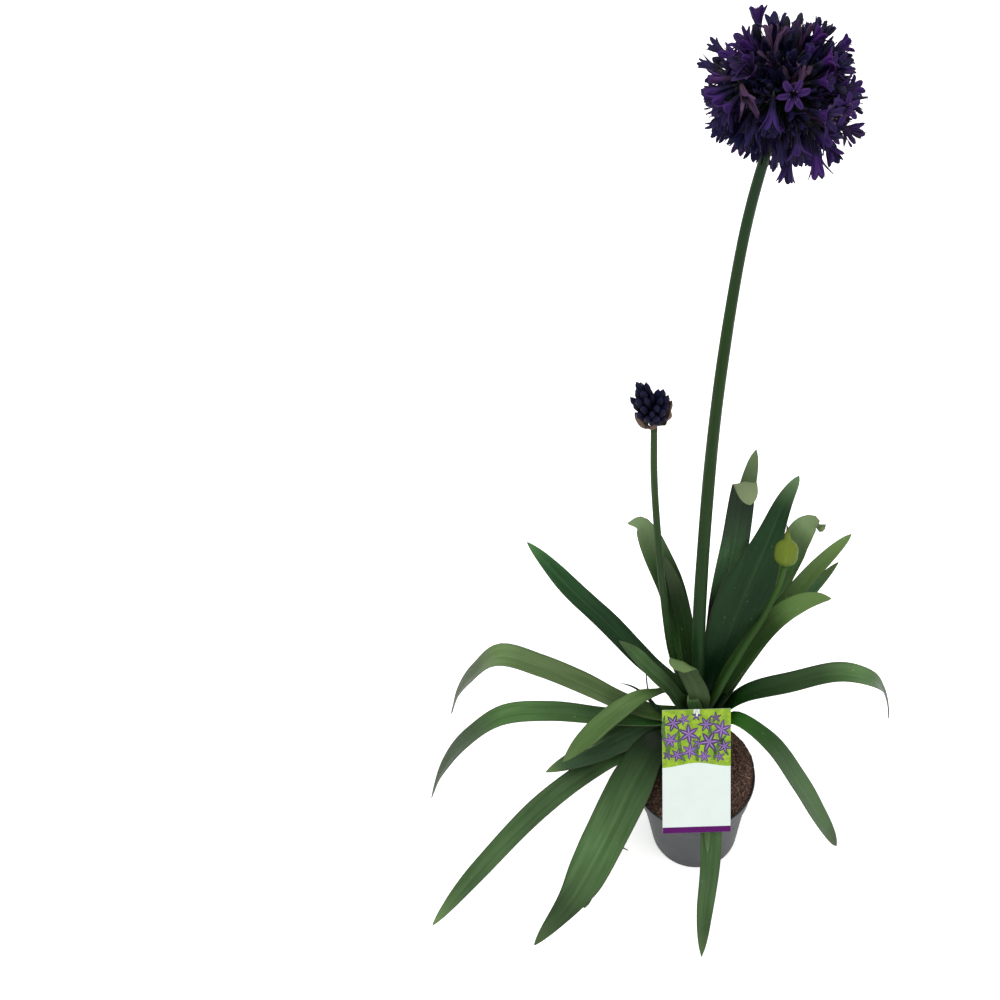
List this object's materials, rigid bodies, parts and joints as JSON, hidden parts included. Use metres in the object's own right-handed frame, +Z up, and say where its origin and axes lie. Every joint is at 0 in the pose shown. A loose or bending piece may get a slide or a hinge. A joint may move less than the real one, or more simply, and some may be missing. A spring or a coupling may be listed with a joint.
{
  "type": "potted agapanthus plant",
  "caption": "Agapanthus in a round nursery pot: strap leaves arching from one crown, a tall scape with a ball of dark violet trumpets, an opening head, a closed bud and a hung label.",
  "frame": {"origin": "centre of the pot's flat underside, on the surface it stands on", "axes": "+Z up; -Y towards the side where the label hangs; +X to the right as the label is read"},
  "size_m": [0.5123, 0.4481, 0.8814],
  "materials": {
    "pot_plastic": "satin",
    "soil": "matte",
    "leaf_base": "satin",
    "leaf": "satin",
    "scape": "satin",
    "floret": "matte",
    "dark_bud": "satin",
    "pale_bud": "satin",
    "bract": "matte",
    "label_card": "satin",
    "hook_plastic": "satin"
  },
  "bodies": {
    "root": {"closed_bud": "pale_bud", "crown": "leaf_base", "florets_01": "floret", "florets_02": "floret", "florets_03": "floret", "florets_04": "floret", "florets_05": "floret", "florets_06": "floret", "florets_07": "floret", "florets_08": "floret", "florets_09": "floret", "florets_10": "floret", "florets_11": "floret", "florets_12": "floret", "florets_13": "floret", "florets_14": "floret", "florets_15": "floret", "florets_16": "floret", "florets_17": "floret", "florets_18": "floret", "florets_19": "floret", "florets_20": "floret", "label": "label_card", "label_hook": "hook_plastic", "leaf_back_broad": "leaf", "leaf_back_curled": "leaf", "leaf_back_folded": "leaf", "leaf_back_left_curled": "leaf", "leaf_back_pointed": "leaf", "leaf_front_hanging": "leaf", "leaf_front_left_broad": "leaf", "leaf_front_left_under": "leaf", "leaf_front_short": "leaf", "leaf_left_arch_high": "leaf", "leaf_left_arch_low": "leaf", "leaf_left_low": "leaf", "leaf_left_raised": "leaf", "leaf_left_raised_short": "leaf", "leaf_left_short": "leaf", "leaf_left_twisted": "leaf", "leaf_right_arch": "leaf", "leaf_right_hanging": "leaf", "leaf_right_high": "leaf", "leaf_right_low": "leaf", "leaf_right_mid": "leaf", "leaf_young_curled": "leaf", "opening_bract_left": "bract", "opening_bract_right": "bract", "opening_bud_cluster": "dark_bud", "pot": "pot_plastic", "scape_closed_bud": "scape", "scape_in_bloom": "scape", "scape_opening": "scape", "soil": "soil"}
  },
  "joints": []
}
